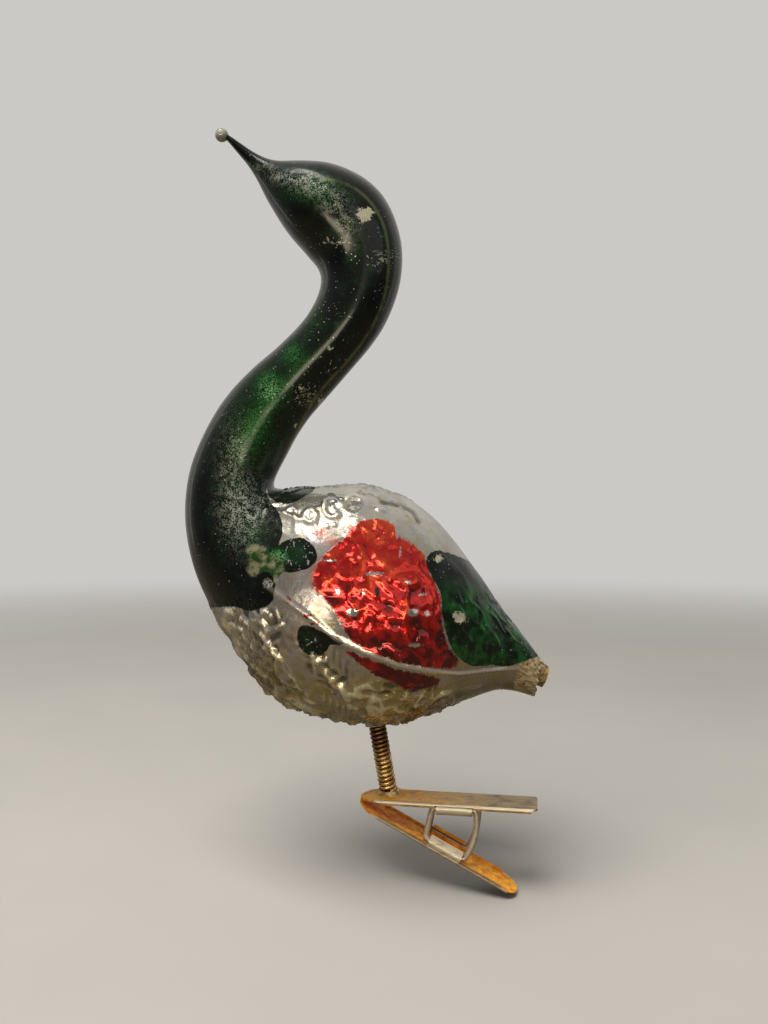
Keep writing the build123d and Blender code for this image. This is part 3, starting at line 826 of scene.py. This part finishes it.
def lacquered_glass():
    s = Shader("lacquered_silvered_glass")
    a = s.attribute
    x, _, z = s.split(s.mm)
    ragged = s.sub(s.noise(1.1, 4), 0.5)
    nibbled = s.sub(s.noise(3.2, 3, 0.6), 0.5)
    grain = s.noise(4.2, 2, 0.7)
    frosted = s.max(a("glow"), a("frost_highlight"))

    # Where each coat lies, from 0 to 1.
    green = s.step(s.add(a("green"), s.mul(ragged, 0.6)), -0.06, 0.08)
    red = s.step(s.add(s.add(a("red"), s.mul(ragged, 1.5)), s.mul(nibbled, 0.9)), -0.15, 0.3)
    pink = s.mul(s.step(s.add(a("pink"), s.mul(nibbled, 2.2)), -0.6, 1.4), 0.75)
    tan = s.step(s.add(a("tan"), s.mul(ragged, 0.8)), -0.05, 0.25)

    silver, crest_highlight = silvering(s, x, z)
    green_colour, chip = worn_green(s, green_lacquer_and_highlights(s, x, z, grain), grain, ragged, nibbled)
    colour = s.mix(red, s.mix(pink, silver, (0.80, 0.16, 0.10)), red_lacquer(s, z, nibbled))
    colour = s.mix(green, colour, green_colour)
    colour = marks_over(s, colour, green, x, grain, nibbled)
    colour = s.mix(tan, colour, old_tan(s))

    # Metal shows through everywhere but in chips and on the stub, and less on the painted highlights of the
    # bare silver's crests.
    dry = s.mul(s.step(green, 0, 1, 1.0, 0.0), s.step(red, 0, 1, 1.0, 0.0))
    worn_off = s.max(s.mul(green, chip), s.mul(tan, 0.8))
    metal = s.sub(s.step(worn_off, 0.0, 1.0, 0.94, 0.25), s.mul(s.mul(crest_highlight, 0.45), dry))
    rough = s.add(s.step(green, 0, 1, 0.28, 0.36), s.step(red, 0, 1, 0.0, -0.06))
    rough = s.add(rough, s.step(worn_off, 0.0, 1.0, 0.0, 0.25))
    rough = s.add(rough, s.mul(green, s.step(frosted, 0.1, 0.6, 0.0, 0.14)))
    rough = s.add(rough, s.mul(s.sub(s.noise(1.6, 3), 0.5), 0.14))

    # The silvering under the lacquer is rougher than the glass skin over it.
    texture = s.add(s.mul(grain, s.step(green, 0, 1, 0.25, 1.0)), s.mul(s.noise(1.3, 3), 0.8))
    on_body = s.step(a("along"), 60, 72, 1.0, 0.05)
    fold = s.mul(s.noise(0.8, 2, 0.45), s.mul(on_body, s.step(red, 0, 1, 0.45, 0.75)))
    under = s.bump(s.add(s.mul(texture, 0.16), fold), 0.16)
    skin = s.bump(s.mul(fold, s.step(green, 0, 1, 1.0, 0.6)), 0.13)
    s.set(Base_Color=colour, Metallic=metal, Roughness=rough, Normal=under, Coat_Normal=skin)
    matt = s.mul(green, s.step(frosted, 0.0, 0.5, 0.25, 0.85))
    s.set(Coat_Weight=s.sub(1.0, matt), Coat_Roughness=0.15, Coat_IOR=1.5)
    return s.material


def clear_glass():
    """The beak's bead: a pale glossy surface with a dark rim stands for clear glass; its pale middle is a
    painted view of the backdrop through the glass and its dark rim painted shade.
    """
    s = Shader("clear_glass")
    rim = s.nodes.new("ShaderNodeLayerWeight")
    rim.inputs["Blend"].default_value = 0.35
    colour = s.mix(rim.outputs["Facing"], (0.44, 0.44, 0.35), (0.03, 0.06, 0.02))
    s.set(Base_Color=colour, Roughness=0.04, IOR=1.5, Coat_Weight=1.0, Coat_Roughness=0.02)
    return s.material


def rusty_tin(name, lower):
    """Brassy tinned sheet: rusted on its inner face, worn bare along its edges and ears, which carry a
    painted pale highlight, weaker on the lower jaw.
    """
    s = Shader(name)
    x, y, z = s.split(s.mm)
    along = s.add(s.mul(x, cos(CLIP_YAW)), s.mul(y, sin(CLIP_YAW)))
    across = s.add(s.mul(x, -sin(CLIP_YAW)), s.mul(y, cos(CLIP_YAW)))
    # The jaw's own directions: reach along it from the nose, and outward from its inner face.
    tilt = 2 * JAW_HALF_ANGLE if lower else 0.0
    square = s.add(s.mul(z, cos(tilt)), s.mul(along, sin(tilt)))
    outward = s.mul(square, -1.0 if lower else 1.0)
    reach = s.sub(s.mul(along, cos(tilt)), s.mul(z, sin(tilt)))
    brushed = s.noise(0.9, 4, 0.55, vector=s.stretched((3.5, 0.6, 0.6), (0, 0, CLIP_YAW)))
    tin = s.mix(s.step(brushed, 0.30, 0.70), (0.33, 0.23, 0.12), (0.52, 0.39, 0.22))
    tin = s.mix(s.step(s.noise(0.35, 3), 0.50, 0.66), tin, (0.24, 0.17, 0.10))
    rust = s.mix(s.step(s.noise(0.8, 4, 0.6), 0.36, 0.64), (0.72, 0.22, 0.010), (1.0, 0.50, 0.03))
    rust = s.mix(s.mul(s.step(s.noise(1.9, 4, 0.65), 0.58, 0.68), 0.6), rust, (0.20, 0.06, 0.012))
    # Outer face: rusted golden at the nose, fading to bare metal towards the tail.
    fade = s.add(s.mul(s.sub(s.noise(0.4, 3, 0.5), 0.5), 22.0), s.mul(reach, -1.0))
    face = s.mul(s.step(fade, -26.0, -6.0), 0.85)
    inner = s.step(outward, 0.60, 0.42)
    side = s.step(s.abs(across), JAW_WIDTH / 2 - 0.45, JAW_WIDTH / 2 - 0.15)
    ear = s.mul(s.step(outward, 0.50, 0.30), s.step(s.abs(s.sub(reach, EAR_CENTRE)), 3.5, 3.2))
    ear = s.mul(ear, s.step(across, -1.0, -1.2))
    bare = s.max(s.mul(side, 0.85), ear)
    golden = s.mul(s.step(outward, 0.6, 0.75), s.step(s.noise(0.7, 4, 0.6), 0.40, 0.62))
    rust = s.mix(s.mul(golden, 0.7), rust, (0.80, 0.50, 0.14))
    cover = s.mul(s.max(face, inner), s.sub(1.0, bare))
    colour = s.mix(cover, tin, rust)
    # Painted highlight: the side edges and the ears are painted pale cream, weaker on the lower jaw, and made
    # less metallic so they catch the light.
    edge_highlight = s.mul(side, s.mul(s.step(outward, 0.26, 0.40), s.step(outward, 0.86, 0.70)))
    pale = s.mul(s.max(s.mul(edge_highlight, 0.9), s.mul(ear, 0.85)), s.step(brushed, 0.3, 0.5, 0.6, 1.0))
    colour = s.mix(s.mul(pale, 0.75 if lower else 1.0), colour, (0.90, 0.80, 0.60))
    pits = s.mul(s.step(s.cells(2.6), 0.14, 0.05), s.step(s.noise(1.0, 2), 0.54, 0.62))
    colour = s.mix(s.mul(pits, 0.5), colour, (0.07, 0.035, 0.015))
    metal = s.sub(s.step(cover, 0, 1, 0.85, 0.12), s.add(s.mul(pale, 0.25), s.mul(ear, 0.35)))
    s.set(Base_Color=colour, Metallic=metal, Roughness=s.step(cover, 0, 1, 0.34, 0.60))
    rise = s.mul(s.noise(2.2, 4, 0.6), s.step(cover, 0, 1, 0.2, 0.8))
    rise = s.add(rise, s.mul(s.noise(0.7, 3), 1.2))
    s.set(Normal=s.bump(s.add(rise, s.mul(pits, -0.4)), 0.06))
    return s.material


def spring_brass():
    """Brass-coloured wire, with painted shade in the grooves between the turns and a painted shadow of the
    bird darkening the turns towards it.
    """
    s = Shader("brassed_spring_wire")
    groove_shade = s.step(s.attribute("away"), 1.26, 1.50)
    z = s.split(s.mm)[2]
    low = s.step(s.add(z, s.noise(0.9, 2)), 9.2, 7.6, 0.35, 1.0)
    tarnish = s.mul(s.step(s.noise(0.8, 4), 0.36, 0.62), low)
    colour = s.mix(tarnish, (0.44, 0.25, 0.10), (0.95, 0.68, 0.32))
    # Painted shadow of the bird: the upper turns are darker.
    colour = s.mix(s.step(z, 7.0, 10.5), colour, (0.20, 0.10, 0.045))
    # Painted shade: dark between the turns.
    colour = s.mix(groove_shade, (0.035, 0.018, 0.008), colour)
    s.set(Base_Color=colour, Metallic=0.95, Roughness=s.step(groove_shade, 0, 1, 0.6, 0.25))
    s.set(Normal=s.bump(s.noise(6.0, 3), 0.02))
    return s.material


def hoop_steel():
    """Dull steel wire with rust, and more of the dark rust colour on the far side as painted shade."""
    s = Shader("dull_hoop_wire")
    # Painted shade: the far side gets more of the dark rust colour.
    shaded = s.step(s.split(s.mm)[1], -1.0, 1.0, 0.0, 0.5)
    rust = s.step(s.add(s.noise(0.9, 5, 0.6), shaded), 0.54, 0.70)
    colour = s.mix(s.noise(1.3, 3), (0.46, 0.39, 0.29), (0.78, 0.69, 0.54))
    colour = s.mix(rust, colour, (0.34, 0.18, 0.08))
    s.set(Base_Color=colour, Metallic=s.step(rust, 0, 1, 0.6, 0.3), Roughness=s.step(rust, 0, 1, 0.38, 0.65))
    s.set(Normal=s.bump(s.noise(5.0, 4), 0.025))
    return s.material


def solder():
    s = Shader("yellowed_solder")
    colour = s.mix(s.step(s.noise(1.3, 4), 0.4, 0.62), (0.42, 0.22, 0.06), (0.90, 0.66, 0.30))
    s.set(Base_Color=colour, Metallic=0.85, Roughness=0.34, Normal=s.bump(s.noise(1.9, 4), 0.2))
    return s.material


def glue():
    s = Shader("old_glue")
    colour = s.mix(s.step(s.noise(1.0, 5), 0.35, 0.65), (0.14, 0.07, 0.02), (0.48, 0.33, 0.13))
    s.set(Base_Color=colour, Roughness=0.45, Normal=s.bump(s.noise(1.8, 5, 0.65), 0.3))
    return s.material


def plaster():
    s = Shader("plaster")
    colour = s.mix(s.noise(1.2, 4), (0.55, 0.50, 0.40), (0.82, 0.78, 0.68))
    s.set(Base_Color=colour, Roughness=0.85, Normal=s.bump(s.noise(2.2, 5), 0.12))
    return s.material


def give(obj, material):
    obj.data.materials.clear()
    obj.data.materials.append(material)


def repaint(node, material):
    """Gives a piece that keeps its CAD mesh its material."""
    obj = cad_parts[node]
    if not obj.material_slots:
        obj.data.materials.append(material)
    for slot in obj.material_slots:
        slot.material = material


# ---- the studio ------------------------------------------
def make_camera():
    data = bpy.data.cameras.new("camera")
    data.lens, data.sensor_width, data.sensor_fit = LENS, SENSOR, "AUTO"
    data.clip_start, data.clip_end = 0.01, 20
    camera = bpy.data.objects.new("camera", data)
    bpy.context.scene.collection.objects.link(camera)
    camera.location = (EYE_AIM[0] * MM, -EYE_DISTANCE * MM, EYE_AIM[1] * MM)
    camera.rotation_euler = (pi / 2, 0, 0)
    bpy.context.scene.camera = camera


def softbox(name, place, aim, size, power, colour, seen="both"):
    """An area light; seen says whether it lights matt surfaces, shows in glossy ones, or both."""
    data = bpy.data.lights.new(name, "AREA")
    data.shape, data.size, data.size_y = "RECTANGLE", size[0], size[1]
    data.energy, data.color = power, colour
    lamp = bpy.data.objects.new(name, data)
    bpy.context.scene.collection.objects.link(lamp)
    lamp.location = place
    lamp.rotation_euler = (Vector(aim) - Vector(place)).to_track_quat("-Z", "Y").to_euler()
    lamp.visible_diffuse = seen != "glossy"
    lamp.visible_glossy = seen != "diffuse"


def make_floor():
    """A pale round card that fades out into the backdrop colour."""
    floor_z = cad_box[0][2] - FLOOR_GAP
    n, radii = 64, [0.1, 0.2, 0.4, 0.8]
    a = np.arange(n) * 2 * pi / n
    points = np.concatenate([np.stack([np.cos(a) * r, np.sin(a) * r, 0 * a + floor_z], -1) for r in radii])
    faces = grid_faces(len(radii), n)
    points, faces = capped(points / MM, faces, 0, n, flip=True)
    floor = mesh_object("floor", points, faces)
    s = Shader("floor_card")
    path = s.nodes.new("ShaderNodeLightPath")
    pale = s.mix(s.noise(0.02, 3), (0.40, 0.39, 0.37), (0.45, 0.435, 0.415))
    colour = s.mix(path.outputs["Is Camera Ray"], (0.15, 0.13, 0.10), pale)  # darker in reflections
    s.set(Base_Color=colour, Roughness=0.9, Specular_IOR_Level=0.0)
    length = s.nodes.new("ShaderNodeVectorMath")
    length.operation = "LENGTH"
    s.links.new(s.mm, length.inputs[0])
    s.set(Alpha=s.step(length.outputs["Value"], 180, 760, 1.0, 0.0))
    give(floor, s.material)


def make_world():
    """Pale where the camera sees it; a dim room with a brighter ceiling and back wall in reflections."""
    world = bpy.data.worlds.new("studio")
    bpy.context.scene.world = world
    w = Nodes(world)
    kinds = ("OutputWorld", "Background", "Background", "MixShader", "LightPath", "TexCoord")
    out, seen, room, choose, path, coordinates = (w.nodes.new("ShaderNode" + kind) for kind in kinds)
    _, back, up = w.split(coordinates.outputs["Generated"])
    brightness = w.add(w.step(up, -0.2, 0.9, 0.10, 0.34), w.step(back, -0.1, 0.9, 0.0, 0.25))
    for socket, value in (
        (seen.inputs[0], BACKDROP), (room.inputs[0], (1.0, 0.97, 0.92)), (room.inputs[1], brightness),
        (choose.inputs[0], path.outputs["Is Camera Ray"]), (choose.inputs[1], room.outputs[0]),
        (choose.inputs[2], seen.outputs[0]), (out.inputs[0], choose.outputs[0]),
    ):
        w.put(socket, value)


def make_studio():
    make_floor()
    make_world()
    warm, white = (1.0, 0.88, 0.66), (1.0, 0.96, 0.90)
    softbox("key", (-0.16, -0.20, 0.56), (0, 0, 0.05), (0.42, 0.34), 4.8, white, seen="diffuse")
    softbox("key_glint", (-0.16, -0.14, 0.58), (0, 0, 0.05), (0.22, 0.18), 0.70, white, seen="glossy")
    softbox("fill", (0.50, -0.65, 0.34), (0, 0, 0.05), (0.9, 0.45), 0.60, white)
    softbox("strip_left", (-0.45, 0.20, 0.10), (0, 0, 0.06), (0.03, 0.6), 0.08, (0.85, 0.9, 0.7))
    softbox("strip_right", (0.45, 0.20, 0.10), (0, 0, 0.06), (0.03, 0.6), 0.04, (0.85, 0.9, 0.7))
    softbox("low_front", (-0.06, -0.50, 0.03), (0, 0, 0.03), (0.50, 0.08), 0.80, warm, seen="glossy")


# ---- put together ----------------------------------------
make_camera()

bird = make_bird()
give(bird, lacquered_glass())
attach(bird, "bird")
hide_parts("glass_bird")

bead = make_bead()
give(bead, clear_glass())
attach(bead, "bird")

up, _, _ = leg_frame()
wire = spring_brass()
leg_low, leg_middle, leg_high = (LEG_FOOT + up * a for a in (BEND_START, COIL_SPLIT, BEND_END))
lower_coil = coil_half("leg_coil_lower", COIL_START, COIL_SPLIT)
upper_coil = coil_half("leg_coil_upper", COIL_SPLIT, COIL_END)
for coil, a, b, start, end in (
    (lower_coil, "upper_clip", "leg", leg_low, leg_middle),
    (upper_coil, "leg", "leg_top", leg_middle, leg_high),
):
    give(coil, wire)
    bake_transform(coil)
    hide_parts("leg_spring")

hoop_wire = hoop_steel()
for name, node, side in (("hoop_left", "ring_spring_left", -1), ("hoop_right", "ring_spring_right", 1)):
    hoop = make_hoop(name, side)
    give(hoop, hoop_wire)
    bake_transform(hoop)
    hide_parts(node)

repaint("upper_jaw", rusty_tin("rusty_tin_upper", lower=False))
repaint("lower_jaw", rusty_tin("rusty_tin_lower", lower=True))
repaint("leg_solder", solder())
repaint("tail_glue", glue())
repaint("leg_plug", plaster())

make_studio()
bpy.context.scene.view_settings.view_transform = "Standard"
